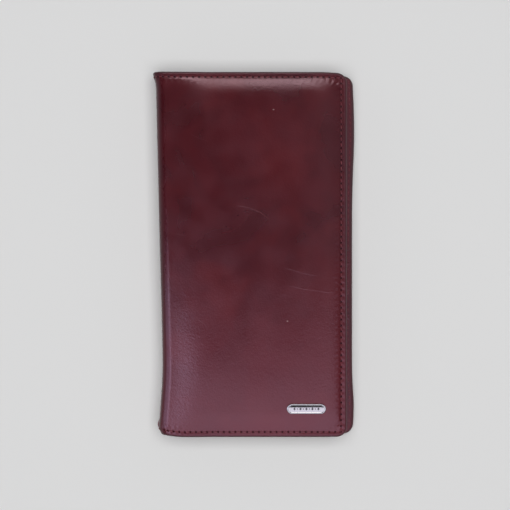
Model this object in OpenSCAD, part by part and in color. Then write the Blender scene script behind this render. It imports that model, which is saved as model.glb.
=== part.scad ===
// Long wallet that opens like a book. It lies closed on its back: +Y is the wallet's top,
// the fold runs down the -X side and the opening edge is at +X. The origin is the middle of
// the back face, on the surface that the wallet lies on.

/* [Overall] */
// Height of the closed wallet, along the fold
wallet_h = 184; // [180:1:200]
// Width of the closed wallet, from the fold to the opening edge
wallet_w = 100; // [98:1:110]
// Thickness of the closed wallet
wallet_t = 18; // [18:0.5:24]
// How far the front half stops short of the back half at the opening edge
front_setback = 3.4; // [0:0.1:5]
// Outer radius of the leather where it turns into the spine
fold_r = 5; // [4:0.25:6]
// Radius of the corners at the opening edge
corner_r = 5.2; // [2:0.1:8]

/* [Layers] */
// Thickness of the outer leather
leather_t = 1.2; // [1:0.1:1.4]
// Thickness of the foam padding under the outer leather
padding_t = 1.4; // [1:0.1:1.6]
// Thickness of the stiffening board
board_t = 0.7; // [0.5:0.1:0.9]
// Thickness of the cloth lining
lining_t = 0.3; // [0.2:0.05:0.4]
// Clear height of an empty note compartment
note_gap = 0.9; // [0.6:0.1:1]
// Thickness of the inner leather panel
panel_t = 0.8; // [0.6:0.1:0.9]

/* [Edges and stitching] */
// Width of the turned-in hem round three sides of each half
hem_w = 7; // [5:0.5:8]
// Distance of the side seam from the leather's edge
side_seam_inset = 2.9; // [2:0.1:4]
// Distance of the top and bottom seams from the leather's edge
end_seam_inset = 2.6; // [2:0.1:4]
// Width of the groove that a seam's thread lies in
seam_groove_w = 0.8; // [0.6:0.1:1]
// Depth of the groove that a seam's thread lies in
seam_groove_d = 0.3; // [0.2:0.05:0.4]

/* [Card slots] */
// Number of card slots in the front half
front_slots = 8; // [5:1:8]
// Number of card slots in the back half, under the coin pocket
back_slots = 3; // [2:1:3]
// Thickness of one slot's leather
slot_t = 0.42; // [0.3:0.01:0.42]
// Distance from one slot's mouth to the next
slot_step = 13; // [10:0.5:13]
// Depth of a slot, a little more than a bank card's height
slot_depth = 56; // [55:0.5:58]
// Distance from the wallet's top to the first slot's mouth
first_mouth_drop = 22; // [22:0.5:26]

/* [Coin pocket] */
// Height of the coin pocket
coin_h = 88; // [80:1:90]
// Distance from the wallet's top to the zip's centre line
zip_drop = 18; // [18:0.5:19]
// Clear depth of the empty coin pocket under its face
coin_gap = 2.2; // [2.2:0.05:2.3]
// Width of the window that shows the zip
zip_window = 11; // [10.5:0.5:12]
// Width of each zip tape
tape_w = 10; // [8:0.5:12]
// Pitch of the zip's teeth
tooth_pitch = 1.6; // [1.4:0.1:2]

/* [Name plate] */
// Length of the plate
badge_l = 19.6; // [15:0.1:25]
// Width of the plate
badge_w = 5; // [4:0.1:8]
// Thickness of the plate
badge_t = 0.9; // [0.6:0.1:1.2]
// Distance from the plate's end to the front half's edge
badge_side_gap = 10.7; // [8:0.1:14]
// Distance from the plate's lower side to the wallet's bottom edge
badge_end_gap = 12; // [9:0.1:14]

/* [Hidden] */
$fn = 96;
half_h = wallet_h / 2;
x_spine = -wallet_w / 2;
x_fold = x_spine + fold_r;
x_back = wallet_w / 2;
x_front = x_back - front_setback;
seam_gap = 0.3;

// Heights of a half's layers, counted from its outer face
z_padding = leather_t;
z_board = z_padding + padding_t;
z_lining = z_board + board_t;
z_note = z_lining + lining_t;
z_panel = z_note + note_gap;
z_pocket = z_panel + panel_t;

// The inner layers start clear of the spine's lining
x_stack = x_spine + 3.5;
pocket_inset = 1;
filling_inset = 8;

// Coin pocket
coin_top = half_h - 2;
coin_bottom = coin_top - coin_h;
coin_right = x_back - pocket_inset;
gusset_w = 3;
coin_face_t = 0.8;
tape_t = 0.4;
z_bag_top = z_pocket + lining_t;
z_coin_face = z_bag_top + coin_gap;
y_zip = half_h - zip_drop;
z_tape = z_coin_face - tape_t;

// Zip teeth and slider
tooth_l = 1;
tooth_h = 2;
row_gap = 0.3;
row_w = 1.6;
z_teeth = z_tape + tape_t / 2 - tooth_h / 2;
teeth_start = x_stack + 4.5;
teeth_end = coin_right - 7;
stop_l = 1.4;
slider_l = 9;
slider_w = 8;
slider_plate_t = 0.6;
slider_clear = 0.25;
slider_wall = 0.8;
slider_x = teeth_end - slider_l / 2 - 0.5;
z_slider_low = z_teeth - slider_clear - slider_plate_t;
z_slider_high = z_teeth + tooth_h + slider_clear;
z_slider_top = z_slider_high + slider_plate_t;
bridge_room = 1.2;
bridge_bar = 0.6;

// ---- Shapes shared by both halves. Each is drawn for a half whose outer face is at z = 0 ----

// Turns a half over to lie on top as the front half
module as_front() {
    translate([0, 0, wallet_t]) mirror([0, 0, 1]) children();
}

// A flat outline with its two opening-side corners rounded
module outline(x0, x1, y0, y1, r) {
    translate([x0, y0]) square([x1 - x0 - r, y1 - y0]);
    translate([x1 - r - 0.01, y0 + r]) square([r + 0.01, y1 - y0 - 2 * r]);
    for (y = [y0 + r, y1 - r]) translate([x1 - r, y]) circle(r);
}

// A flat layer between two heights
module layer(z0, t, x0, x1, y0, y1, r = 0.5) {
    translate([0, 0, z0]) linear_extrude(t) outline(x0, x1, y0, y1, r);
}

// The turned corner between a half and the spine, as a 45 degree arc of leather
module fold_arc(from_angle, to_angle) {
    reach = 2 * fold_r;
    middle = (from_angle + to_angle) / 2;
    trim = asin(seam_gap / 2 / fold_r);
    a0 = from_angle == 225 ? from_angle + trim : from_angle;
    a1 = to_angle == 225 ? to_angle - trim : to_angle;
    translate([x_fold, 0, fold_r])
        rotate([90, 0, 0])
            linear_extrude(wallet_h, center = true)
                intersection() {
                    difference() {
                        circle(fold_r);
                        circle(fold_r - leather_t);
                    }
                    polygon([
                        [0, 0],
                        reach * [cos(a0), sin(a0)],
                        reach * [cos(middle), sin(middle)],
                        reach * [cos(a1), sin(a1)]
                    ]);
                }
}

// The three straight seams of one half, as bars of the given section
module seam_lines(x_edge, w, z0, t) {
    side_x = x_edge - side_seam_inset;
    end_y = half_h - end_seam_inset;
    translate([side_x - w / 2, -end_y - w / 2, z0]) cube([w, 2 * end_y + w, t]);
    for (side = [-1, 1])
        translate([x_fold, side * end_y - w / 2, z0]) cube([side_x - x_fold, w, t]);
}

// Outer leather of one half, with the grooves that its thread lies in
module cover(x_edge) {
    difference() {
        layer(0, leather_t, x_fold, x_edge, -half_h, half_h, corner_r);
        seam_lines(x_edge, seam_groove_w, -1, 1 + seam_groove_d);
    }
    fold_arc(225, 270);
}

module stitching(x_edge) {
    thread_w = seam_groove_w - 0.2;
    seam_lines(x_edge, thread_w, 0.05, seam_groove_d - 0.05);
}

module filling(z0, t, x_edge) {
    end_y = half_h - filling_inset;
    layer(z0, t, x_fold, x_edge - filling_inset, -end_y, end_y);
}

module lining(x_edge) {
    end_y = half_h - hem_w;
    layer(z_lining, lining_t, x_fold, x_edge - hem_w, -end_y, end_y);
}

// One strip of the turned-in hem: the top and bottom strips take in the rounded corners
module hem_end(x_edge, side) {
    y0 = side > 0 ? half_h - hem_w : -half_h;
    translate([0, 0, z_padding])
        linear_extrude(z_panel - z_padding)
            intersection() {
                outline(x_fold, x_edge, -half_h, half_h, corner_r);
                translate([x_fold, y0]) square([wallet_w, hem_w]);
            }
}

module hem_side(x_edge) {
    end_y = half_h - hem_w;
    translate([x_edge - hem_w, -end_y, z_padding])
        cube([hem_w, 2 * end_y, z_panel - z_padding]);
}

module panel(x_edge) {
    layer(z_panel, panel_t, x_stack, x_edge, -half_h, half_h, corner_r);
}

// One card slot: a flat leather pocket whose mouth faces the wallet's top
module slot(level, mouth_y, x_edge) {
    floor_y = max(mouth_y - slot_depth, -half_h + 2);
    layer(z_pocket + level * slot_t, slot_t, x_stack, x_edge - pocket_inset, floor_y, mouth_y);
}

// ---- Back half ----

module back_cover() { color("#5a1c24") cover(x_back); }

module back_padding() { color("#d8d4c8") filling(z_padding, padding_t, x_back); }

module back_board() { color("#b09a78") filling(z_board, board_t, x_back); }

module back_lining() { color("#2c2226") lining(x_back); }

module back_hem_top() { color("#4c171e") hem_end(x_back, 1); }

module back_hem_bottom() { color("#4c171e") hem_end(x_back, -1); }

module back_hem_side() { color("#4c171e") hem_side(x_back); }

module back_panel() { color("#541a22") panel(x_back); }

module back_stitching() { color("#7c3f48") stitching(x_back); }

// ---- Coin pocket ----

module coin_bag() {
    color("#2c2226") layer(z_pocket, lining_t, x_stack, coin_right, coin_bottom, coin_top);
}

module coin_gusset_end(y0) {
    translate([x_stack, y0, z_bag_top])
        cube([coin_right - x_stack, gusset_w, z_coin_face - z_bag_top]);
}

module coin_gusset_top() { color("#4c171e") coin_gusset_end(coin_top - gusset_w); }

module coin_gusset_bottom() { color("#4c171e") coin_gusset_end(coin_bottom); }

module coin_gusset_side(x0) {
    translate([x0, coin_bottom + gusset_w, z_bag_top])
        cube([gusset_w, coin_h - 2 * gusset_w, z_tape - z_bag_top]);
}

module coin_gusset_left() { color("#4c171e") coin_gusset_side(x_stack); }

module coin_gusset_right() { color("#4c171e") coin_gusset_side(coin_right - gusset_w); }

module coin_face(y0, y1) {
    layer(z_coin_face, coin_face_t, x_stack, coin_right, y0, y1);
}

module coin_face_upper() { color("#541a22") coin_face(y_zip + zip_window / 2, coin_top); }

module coin_face_lower() { color("#541a22") coin_face(coin_bottom, y_zip - zip_window / 2); }

// Draws the upper half of something that the zip's centre line divides, or the lower half
module beside_zip(side) {
    translate([0, y_zip, 0]) mirror([0, side < 0 ? 1 : 0, 0]) children();
}

module zip_tape(side) {
    beside_zip(side)
        translate([x_stack, row_gap + row_w, z_tape])
            cube([coin_right - x_stack, tape_w, tape_t]);
}

module zip_tape_upper() { color("#3a1018") zip_tape(1); }

module zip_tape_lower() { color("#3a1018") zip_tape(-1); }

// A row of teeth on the beaded edge of its tape
module zip_teeth(side) {
    bead_w = 0.6;
    bead_h = 0.8;
    count = floor((teeth_end - teeth_start - tooth_l) / tooth_pitch);
    beside_zip(side) {
        translate([teeth_start, row_gap + row_w - bead_w, z_teeth + (tooth_h - bead_h) / 2])
            cube([teeth_end - teeth_start, bead_w, bead_h]);
        for (k = [0 : count])
            translate([teeth_start + k * tooth_pitch, row_gap, z_teeth])
                cube([tooth_l, row_w, tooth_h]);
    }
}

module zip_teeth_upper() { color("#c9c6bf") zip_teeth(1); }

module zip_teeth_lower() { color("#c9c6bf") zip_teeth(-1); }

// A small block clamped over each row at the closed end
module zip_stop_closed() {
    color("#c9c6bf")
        for (side = [-1, 1])
            beside_zip(side)
                translate([teeth_end, row_gap, z_teeth - 0.1])
                    cube([stop_l, row_w, tooth_h + 0.2]);
}

// One block clamped over both rows at the open end
module zip_stop_open() {
    color("#c9c6bf")
        translate([teeth_start - stop_l, y_zip - row_gap - row_w, z_teeth - 0.1])
            cube([stop_l, 2 * (row_gap + row_w), tooth_h + 0.2]);
}

// ---- Zip slider and its pull ----

// One shield of the slider, with the two flanges that guide the tapes
module slider_shield(z_plate, z_flange, flange_h) {
    layer(z_plate, slider_plate_t, slider_x - slider_l / 2, slider_x + slider_l / 2,
        y_zip - slider_w / 2, y_zip + slider_w / 2, 2.5);
    for (side = [-1, 1])
        beside_zip(side)
            translate([slider_x - slider_l / 2, slider_w / 2 - slider_wall, z_flange])
                cube([slider_l - 2.5, slider_wall, flange_h]);
}

module zip_slider() {
    web_t = 0.3;
    web_l = 2;
    arch_half = 3;
    arch_w = 2.4;
    flange_clear = 0.15;
    z_low_top = z_slider_low + slider_plate_t;
    z_above_tape = z_tape + tape_t + flange_clear;
    color("#d9d7d2") {
        slider_shield(z_slider_low, z_low_top, z_tape - flange_clear - z_low_top);
        slider_shield(z_slider_high, z_above_tape, z_slider_high - z_above_tape);
        // Web between the shields, where the two rows part
        translate([slider_x + slider_l / 2 - web_l, y_zip - web_t / 2, z_low_top])
            cube([web_l, web_t, z_slider_high - z_low_top]);
        // Bridge that holds the pull
        for (side = [-1, 1])
            translate([slider_x + side * arch_half - slider_wall / 2, y_zip - arch_w / 2, z_slider_top])
                cube([slider_wall, arch_w, bridge_room + bridge_bar]);
        translate([slider_x - arch_half, y_zip - arch_w / 2, z_slider_top + bridge_room])
            cube([2 * arch_half, arch_w, bridge_bar]);
    }
}

// A strip of leather folded through the bridge and sewn to itself, hanging toward the bottom
module zip_pull() {
    strip_w = 4.6;
    strip_t = 0.6;
    pull_l = 26;
    z_low = z_slider_top + 0.2;
    z_eye_low = z_low + strip_t;
    z_eye_high = z_slider_top + bridge_room + bridge_bar + 0.1;
    eye_y = 1.6;
    sewn_y = -7;
    color("#5a1c24")
        translate([slider_x, y_zip, 0])
            rotate([90, 0, 90])
                linear_extrude(strip_w, center = true)
                    difference() {
                        polygon([
                            [-pull_l, z_low],
                            [eye_y + strip_t, z_low],
                            [eye_y + strip_t, z_eye_high + strip_t],
                            [-eye_y, z_eye_high + strip_t],
                            [sewn_y, z_eye_low + strip_t],
                            [-pull_l, z_eye_low + strip_t]
                        ]);
                        polygon([
                            [sewn_y, z_eye_low],
                            [eye_y, z_eye_low],
                            [eye_y, z_eye_high],
                            [-eye_y, z_eye_high]
                        ]);
                    }
}

// ---- Spine ----

module spine_cover() {
    color("#5a1c24") {
        translate([x_spine, -half_h, fold_r])
            cube([leather_t, wallet_h, wallet_t - 2 * fold_r]);
        fold_arc(180, 225);
        as_front() fold_arc(180, 225);
    }
}

module spine_lining() {
    color("#2c2226")
        translate([x_spine + leather_t, -half_h, fold_r])
            cube([lining_t, wallet_h, wallet_t - 2 * fold_r]);
}

// ---- Front half ----

badge_x = x_front - badge_side_gap - badge_l / 2;
badge_y = -half_h + badge_end_gap + badge_w / 2;
prong_spacing = 12;
washer_t = 0.5;

// A plate with full-round ends, centred on the name plate's place
module stadium(l, w, z0, t) {
    translate([badge_x, badge_y, z0])
        linear_extrude(t) {
            square([l - w, w], center = true);
            for (side = [-1, 1]) translate([side * (l - w) / 2, 0]) circle(w / 2);
        }
}

module at_prongs() {
    for (side = [-1, 1]) translate([badge_x + side * prong_spacing / 2, badge_y, 0]) children();
}

module front_cover() {
    color("#5a1c24")
        difference() {
            as_front() cover(x_front);
            at_prongs() translate([0, 0, wallet_t - 2 * leather_t]) cylinder(r = 0.8, h = 4 * leather_t);
        }
}

module front_padding() {
    color("#d8d4c8")
        difference() {
            as_front() filling(z_padding, padding_t, x_front);
            stadium(badge_l - 2, badge_w, wallet_t - leather_t - washer_t - 0.4, 2);
        }
}

module front_board() { color("#b09a78") as_front() filling(z_board, board_t, x_front); }

module front_lining() { color("#2c2226") as_front() lining(x_front); }

module front_hem_top() { color("#4c171e") as_front() hem_end(x_front, 1); }

module front_hem_bottom() { color("#4c171e") as_front() hem_end(x_front, -1); }

module front_hem_side() { color("#4c171e") as_front() hem_side(x_front); }

module front_panel() { color("#541a22") as_front() panel(x_front); }

module front_stitching() { color("#7c3f48") as_front() stitching(x_front); }

// The plate with its stepped rim, and the two prongs behind it
module badge() {
    rim_step = 0.3;
    prong_l = leather_t + washer_t + 0.2;
    color("#e4e4e6") {
        stadium(badge_l, badge_w, wallet_t, badge_t - rim_step);
        stadium(badge_l - 2 * rim_step, badge_w - 2 * rim_step, wallet_t + badge_t - rim_step, rim_step);
        at_prongs() translate([0, 0, wallet_t - prong_l]) cylinder(r = 0.7, h = prong_l);
    }
}

module badge_washer() {
    color("#c9c6bf")
        difference() {
            stadium(badge_l - 3, badge_w - 1, wallet_t - leather_t - washer_t, washer_t);
            at_prongs() translate([0, 0, wallet_t - 4]) cylinder(r = 0.8, h = 4);
        }
}

// ---- Card slots: the first ones are in the front half, the rest under the coin pocket ----

module card_slot(k) {
    first_mouth = half_h - first_mouth_drop;
    back_mouth = coin_bottom - 6;
    color("#5e2029")
        if (k <= front_slots)
            as_front() slot(k - 1, first_mouth - (k - 1) * slot_step, x_front);
        else
            slot(k - front_slots - 1, back_mouth - (k - front_slots - 1) * slot_step, x_back);
}

back_cover();
back_padding();
back_board();
back_lining();
back_hem_top();
back_hem_side();
back_hem_bottom();
back_panel();
back_stitching();
coin_bag();
coin_gusset_top();
coin_gusset_bottom();
coin_gusset_left();
coin_gusset_right();
coin_face_upper();
coin_face_lower();
zip_tape_upper();
zip_tape_lower();
zip_teeth_upper();
zip_teeth_lower();
zip_stop_closed();
zip_stop_open();
zip_slider();
zip_pull();
spine_cover();
spine_lining();
front_cover();
front_padding();
front_board();
front_lining();
front_hem_top();
front_hem_side();
front_hem_bottom();
front_panel();
front_stitching();
badge();
badge_washer();
for (k = [1 : front_slots + back_slots])
    card_slot(k);
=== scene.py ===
"""The looks of a long leather wallet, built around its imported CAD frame.

Everything is in metres, in the frame's own axes: the closed wallet lies on its back, its fold is
on the -X side and its top is at +Y. Each half has coordinates of its own, (x, y, depth): x and y
lie in the half's flat leather before it is folded, and depth counts inward from its outer face.
"""

import math
from functools import partial

import bmesh
import bpy
import numpy as np
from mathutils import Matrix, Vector


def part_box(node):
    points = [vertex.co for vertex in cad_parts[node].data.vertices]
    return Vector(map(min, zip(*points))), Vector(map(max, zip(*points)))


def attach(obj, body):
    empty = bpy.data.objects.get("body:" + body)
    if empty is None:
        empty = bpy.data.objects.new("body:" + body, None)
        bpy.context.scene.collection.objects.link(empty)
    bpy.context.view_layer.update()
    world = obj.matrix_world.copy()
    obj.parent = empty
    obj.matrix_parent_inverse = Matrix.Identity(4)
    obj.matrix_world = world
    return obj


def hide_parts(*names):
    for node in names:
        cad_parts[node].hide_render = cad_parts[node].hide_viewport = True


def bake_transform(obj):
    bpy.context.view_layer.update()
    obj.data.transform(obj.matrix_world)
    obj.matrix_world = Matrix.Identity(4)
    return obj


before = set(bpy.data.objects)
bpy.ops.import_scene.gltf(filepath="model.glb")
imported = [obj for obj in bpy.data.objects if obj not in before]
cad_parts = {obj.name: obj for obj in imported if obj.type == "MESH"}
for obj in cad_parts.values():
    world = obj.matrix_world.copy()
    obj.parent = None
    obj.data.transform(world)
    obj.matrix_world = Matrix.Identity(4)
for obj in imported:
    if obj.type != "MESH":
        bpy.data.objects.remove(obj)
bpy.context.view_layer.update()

BACK = "back_half"
FRONT = "front_half"
SLIDER = "slider"
MM = 0.001
TINY = 1e-12

# ---- Sizes that come from the frame ----

X_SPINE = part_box("spine_cover")[0].x
X_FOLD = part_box("back_padding")[0].x
X_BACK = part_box("back_cover")[1].x
X_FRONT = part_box("front_cover")[1].x
X_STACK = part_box("back_panel")[0].x
HALF_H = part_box("back_cover")[1].y
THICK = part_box("front_cover")[1].z
FOLD_R = X_FOLD - X_SPINE
ARC = FOLD_R * math.pi / 2
X_MID_SPINE = X_FOLD - ARC - (THICK / 2 - FOLD_R)
EDGE_X = {BACK: X_BACK, FRONT: X_FRONT}

# ---- Sizes of the soft shapes ----

LEATHER_T = 0.9 * MM
ROLL_R = 1.05 * MM
HEM_SHOWN = 2.4 * MM
CORNER_R = 5.2 * MM
STEEP_DROP = 1.7 * MM
STEEP_W = 13 * MM
BROAD_DROP = 0.75 * MM
BROAD_W = 34 * MM
FLAT_BORDER = 2.3 * MM
SIDE_SEAM = {BACK: 2.4 * MM, FRONT: 2.9 * MM}
END_SEAM = 2.6 * MM
STITCH_PITCH = 3.0 * MM
SEAM_SINK = 0.14 * MM
PUCKER = 0.08 * MM
PANEL_T = 0.8 * MM
PANEL_INSET = 0.8 * MM
LINING_T = 0.3 * MM
BORDER_DIP = 0.5 * MM
ZIP_SEAM = 1.4 * MM
TOOTH_INSET = 0.25 * MM
TOOTH_CLEAR = 0.15 * MM
# Keeps layers that lie on each other from sharing a face
PLAY = 0.01 * MM


def ease(t):
    """Smooth step from 0 to 1."""
    t = np.clip(t, 0, 1)
    return t * t * (3 - 2 * t)


def bell(value, centre, width):
    """A smooth bump of height 1 around a centre."""
    return np.exp(-(((value - centre) / width) ** 2))


def spine_shift(half, y):
    """How far the soft spine stands in from its straight line. Its corners flare out, below zero."""
    deepest, deepest_y, rounding = 3.25 * MM, -56 * MM, 12 * MM
    slope_above, slope_below = 0.0245, 0.089
    along = y - deepest_y
    slope = np.where(along > 0, slope_above, slope_below)
    drawn_in = deepest - slope * (np.sqrt(along ** 2 + rounding ** 2) - rounding)
    top_flare = 1.5 * MM * bell(y, HALF_H, 4.3 * MM)
    bottom_flare = (0.6 if half == BACK else 0.0) * MM * bell(y, -HALF_H + 5 * MM, 2.5 * MM)
    bottom_tuck = 1.5 * MM * ease((-HALF_H + 3.5 * MM - y) / (3.5 * MM))
    return drawn_in - top_flare - bottom_flare + bottom_tuck


def edge_shift(half, y):
    """How far the opening edge of the back half strays outward."""
    if half == FRONT:
        return 0 * y
    return 1.1 * MM * bell(y, 63 * MM, 24 * MM) + 0.9 * MM * bell(y, -78 * MM, 12 * MM) + 0.05 * MM


def end_droop(x, y):
    """How far the top and bottom edges draw in towards the corners."""
    right = ease((x - 32 * MM) / (13 * MM)) * np.where(y > 0, 0.5 * MM, 0.1 * MM)
    left = ease((X_FOLD + 10 * MM - x) / (14 * MM)) * np.where(y > 0, 0.0, 1.1 * MM)
    return (right + left) * ease((np.abs(y) - 80 * MM) / (10 * MM))


def place(half, x, y, depth, bent=False):
    """Points of the frame for a half's own coordinates. Bent leather follows the fold."""
    x, y, depth = np.broadcast_arrays(*(np.asarray(v, float) for v in (x, y, depth)))
    across, height = x, depth
    if bent:
        past = np.clip(X_FOLD - x, 0, None)
        angle = np.minimum(past, ARC) / FOLD_R
        straight = np.maximum(past - ARC, 0)
        radius = FOLD_R - depth
        across = np.where(past > 0, X_FOLD - radius * np.sin(angle), x)
        height = np.where(past > 0, FOLD_R - radius * np.cos(angle) + straight, depth)
    fade_w = 35 * MM
    across = across + spine_shift(half, y) * ease((X_FOLD + fade_w - across) / fade_w)
    across = across + edge_shift(half, y) * ease((across - X_BACK + 20 * MM) / (18 * MM))
    y = y - np.sign(y) * end_droop(across, y)
    if half == FRONT:
        height = THICK - height
    return np.stack([across, y, height], -1)


# ---- Mesh helpers ----


def make_object(name, points, faces, sharp_deg=38, attributes=None, weld=False):
    """A mesh object from points and faces, smooth except at sharp edges, with its faces outward."""
    mesh = bpy.data.meshes.new(name)
    mesh.from_pydata([tuple(p) for p in points], [], faces)
    for key, values in (attributes or {}).items():
        layer = mesh.attributes.new(key, "FLOAT", "POINT")
        layer.data.foreach_set("value", np.asarray(values, np.float32))
    bm = bmesh.new()
    bm.from_mesh(mesh)
    if weld:
        bmesh.ops.remove_doubles(bm, verts=bm.verts, dist=1e-6)
    bmesh.ops.recalc_face_normals(bm, faces=bm.faces)
    bm.to_mesh(mesh)
    bm.free()
    mesh.polygons.foreach_set("use_smooth", [True] * len(mesh.polygons))
    mesh.set_sharp_from_angle(angle=math.radians(sharp_deg))
    obj = bpy.data.objects.new(name, mesh)
    bpy.context.scene.collection.objects.link(obj)
    return obj


def lines(start, end, step, fine=()):
    """Rising values from start to end about a step apart. fine lists (centre, reach, finer step)."""
    rounding = 1e-9
    values = [start]
    while values[-1] < end - rounding:
        here = values[-1]
        wanted = min([step] + [s for c, reach, s in fine if abs(here - c) <= reach + rounding])
        ahead = [c - reach for c, reach, s in fine if c - reach > here + rounding]
        values.append(min([here + wanted, end] + ahead))
    values = np.array(values)
    keep = np.r_[True, np.diff(values) > 0.3 * min([step] + [s for _, _, s in fine])]
    keep[-1] = True
    return values[keep]


def corner_arcs(box, r_left, r_right):
    """For each corner of a box: its arc's centre in x, the outward sign in x, and the same in y."""
    x0, x1, y0, y1 = box
    for centre_x, side, r in ((x0 + r_left, -1, r_left), (x1 - r_right, 1, r_right)):
        for centre_y, end in ((y0 + r, -1), (y1 - r, 1)):
            yield centre_x, side, centre_y, end


def round_corners(x, y, box, r_left, r_right):
    """Draws the corners of a rectangular grid in to arcs."""
    x_out, y_out = x, y
    for centre_x, side, centre_y, end in corner_arcs(box, r_left, r_right):
        a, b = (x - centre_x) * side, (y - centre_y) * end
        inside = (a > 0) & (b > 0)
        shrink = np.maximum(a, b) / np.maximum(np.hypot(a, b), TINY)
        x_out = np.where(inside, centre_x + side * a * shrink, x_out)
        y_out = np.where(inside, centre_y + end * b * shrink, y_out)
    return x_out, y_out


def rim_normals(x, y, box, r_left, r_right):
    """Outward directions in the leather's plane at rim points."""
    x0, x1, y0, y1 = box
    near_by = 1e-6
    nx = np.where(np.abs(x - x1) < near_by, 1.0, np.where(np.abs(x - x0) < near_by, -1.0, 0.0))
    ny = np.where(np.abs(y - y1) < near_by, 1.0, np.where(np.abs(y - y0) < near_by, -1.0, 0.0))
    for centre_x, side, centre_y, end in corner_arcs(box, r_left, r_right):
        a, b = (x - centre_x) * side, (y - centre_y) * end
        inside = (a > 0) & (b > 0)
        nx, ny = np.where(inside, side * a, nx), np.where(inside, end * b, ny)
    length = np.maximum(np.hypot(nx, ny), TINY)
    return nx / length, ny / length


def edge_chain(n_x, n_y, closed):
    """Grid positions along the rim: bottom, opening side and top, and the spine side if closed."""
    chain = [(i, 0) for i in range(n_x)]
    chain += [(n_x - 1, j) for j in range(1, n_y)]
    chain += [(i, n_y - 1) for i in range(n_x - 2, -1, -1)]
    if closed:
        chain += [(0, j) for j in range(n_y - 2, 0, -1)]
    return np.array(chain).T


def grid_faces(n_x, n_y, first=0):
    """Quads of a grid whose point (i, j) has the number first + i * n_y + j."""
    i, j = np.meshgrid(np.arange(n_x - 1), np.arange(n_y - 1), indexing="ij")
    a = (first + i * n_y + j).ravel()
    return np.stack([a, a + n_y, a + n_y + 1, a + 1], -1).tolist()


def strip_faces(one, other, closed):
    """Quads between two rows of point numbers."""
    wrap = len(one)
    count = wrap if closed else wrap - 1
    return [[one[k], one[(k + 1) % wrap], other[(k + 1) % wrap], other[k]] for k in range(count)]


def tube_faces(rings, sides):
    """Quads of a tube of rings of points, and its two end caps."""
    rows = [list(range(k * sides, (k + 1) * sides)) for k in range(rings)]
    faces = [face for one, other in zip(rows, rows[1:]) for face in strip_faces(one, other, True)]
    return faces + [rows[0][::-1], rows[-1]]


def drop_loose(points, wear, faces):
    """Leaves out the points that no face uses."""
    used = np.zeros(len(points), bool)
    used[[k for f in faces for k in f]] = True
    renumber = np.cumsum(used) - 1
    return points[used], wear[used], [[int(renumber[k]) for k in f] for f in faces]


def plate(name, half, box, near, far, r_left=0.6 * MM, r_right=0.6 * MM, x_fine=(), y_fine=(),
          step=2.2 * MM, bent=False, edge_steps=4, window=None, window_r=0.0):
    """A closed sheet with rounded edges between two depths, each a number or a function of (x, y).

    window is a box that is cut out of it, with corners of radius window_r.
    """
    near, far = (d if callable(d) else partial(lambda level, x, y: level + 0 * x, d) for d in (near, far))
    x0, x1, y0, y1 = box
    probe = (np.array([(x0 + x1) / 2]), np.array([y0]))
    edge = float((far(*probe) - near(*probe))[0]) / 2
    inner = (x0 + edge, x1 - edge, y0 + edge, y1 - edge)
    corner = max(r_right, 0.8 * MM)
    x_lines = lines(inner[0], inner[1], step, [(inner[1], corner, corner / 4), *x_fine])
    y_lines = lines(inner[2], inner[3], step, [(end, corner, corner / 4) for end in inner[2:]] + [*y_fine])
    least_r = 0.05 * MM
    rims = [(inner, max(r_left - edge, least_r), max(r_right - edge, least_r), 1)]
    if window:
        hole = (window[0] - edge, window[1] + edge, window[2] - edge, window[3] + edge)
        rims.append((hole, window_r + edge, window_r + edge, -1))
        x_lines = np.unique(np.round(np.r_[x_lines, hole[:2]], 9))
        y_lines = np.unique(np.round(np.r_[y_lines, hole[2:]], 9))
    grid_x, grid_y = np.meshgrid(x_lines, y_lines, indexing="ij")
    x, y = round_corners(grid_x, grid_y, *rims[0][:3])
    n_x, n_y = x.shape
    faces = grid_faces(n_x, n_y)
    if window:
        slack = 1e-8
        inside = (grid_x > hole[0] - slack) & (grid_x < hole[1] + slack)
        inside &= (grid_y > hole[2] - slack) & (grid_y < hole[3] + slack)
        hole_x, hole_y = round_corners(grid_x, grid_y, *rims[1][:3])
        x, y = np.where(inside, hole_x, x), np.where(inside, hole_y, y)
        open_cell = inside[:-1, :-1] & inside[1:, 1:]
        faces = [f for f, skip in zip(faces, open_cell.ravel()) if not skip]
    shallow, deep = near(x, y), far(x, y)
    layer = n_x * n_y
    points = [place(half, x, y, depth, bent).reshape(-1, 3) for depth in (deep, shallow)]
    faces += [[k + layer for k in f] for f in faces]
    wear = [np.zeros(2 * layer)]
    total = 2 * layer
    for rim, r_a, r_b, outward in rims:
        i0, i1 = (int(np.argmin(np.abs(x_lines - v))) for v in rim[:2])
        j0, j1 = (int(np.argmin(np.abs(y_lines - v))) for v in rim[2:])
        ci, cj = edge_chain(i1 - i0 + 1, j1 - j0 + 1, True) + np.array([[i0], [j0]])
        nx, ny = rim_normals(x[ci, cj], y[ci, cj], rim, r_a, r_b)
        middle = (shallow + deep)[ci, cj] / 2
        reach = (deep - shallow)[ci, cj] / 2
        rows = [(ci * n_y + cj).tolist()]
        for k in range(1, edge_steps):
            angle = math.pi * k / edge_steps
            out = outward * edge * math.sin(angle)
            sink = middle + reach * math.cos(angle)
            points.append(place(half, x[ci, cj] + nx * out, y[ci, cj] + ny * out, sink, bent))
            wear.append(np.ones(len(ci)))
            rows.append(list(range(total, total + len(ci))))
            total += len(ci)
        rows.append((layer + ci * n_y + cj).tolist())
        for one, other in zip(rows, rows[1:]):
            faces += strip_faces(one, other, True)
    points, wear, faces = drop_loose(np.concatenate(points), np.concatenate(wear), faces)
    return make_object(name, points, faces, attributes={"wear": wear})


# ---- Surfaces of a half ----


def from_rim(to_side, to_end, round_r):
    """Distance inward from the rim, with its corners rounded to a radius."""
    a = np.maximum(round_r - to_side, 0)
    b = np.maximum(round_r - to_end, 0)
    return np.maximum(round_r - np.hypot(a, b), 0)


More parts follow.
